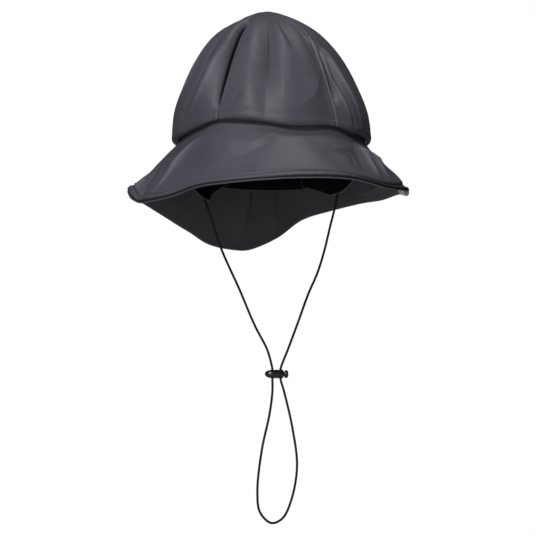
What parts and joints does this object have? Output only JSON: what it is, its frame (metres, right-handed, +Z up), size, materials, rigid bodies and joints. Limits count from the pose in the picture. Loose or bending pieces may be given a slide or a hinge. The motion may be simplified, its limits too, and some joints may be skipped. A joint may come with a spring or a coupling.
{
  "type": "sou wester hat",
  "caption": "Waxed-look rain hat with a domed gored crown, a flared brim falling to a long neck flap, and a chin cord with a press-button lock.",
  "frame": {"origin": "centre of the head opening, in the plane of the seam between crown and brim", "axes": "+Z up through the crown, -Y towards the front of the brim, +Y towards the neck flap, +X to the right as seen from the front"},
  "size_m": [0.2829, 0.2948, 0.516],
  "materials": {
    "outer_cloth": "smooth coated cloth with a soft sheen",
    "facing_cloth": "dull coated cloth",
    "band_cloth": "matt black woven tape",
    "cord": "braided elastic cord",
    "lock_plastic": "satin to glossy black"
  },
  "bodies": {
    "hat": {"crown_gore_front": "outer_cloth", "crown_gore_front_right": "outer_cloth", "crown_gore_back_right": "outer_cloth", "crown_gore_back": "outer_cloth", "crown_gore_back_left": "outer_cloth", "crown_gore_front_left": "outer_cloth", "brim_outer": "outer_cloth", "brim_facing": "facing_cloth", "inner_band": "band_cloth", "ear_tab_left": "band_cloth", "ear_tab_right": "band_cloth", "chin_cord": "cord", "cord_lock_body": "lock_plastic"},
    "button": {"cord_lock_button": "lock_plastic"}
  },
  "joints": [
    {"name": "button_press", "type": "slide", "parent": "hat", "child": "button", "axis": [-1, 0, 0], "range_m": [0, 0.0012], "stiffness_N_per_m": 2500}
  ]
}
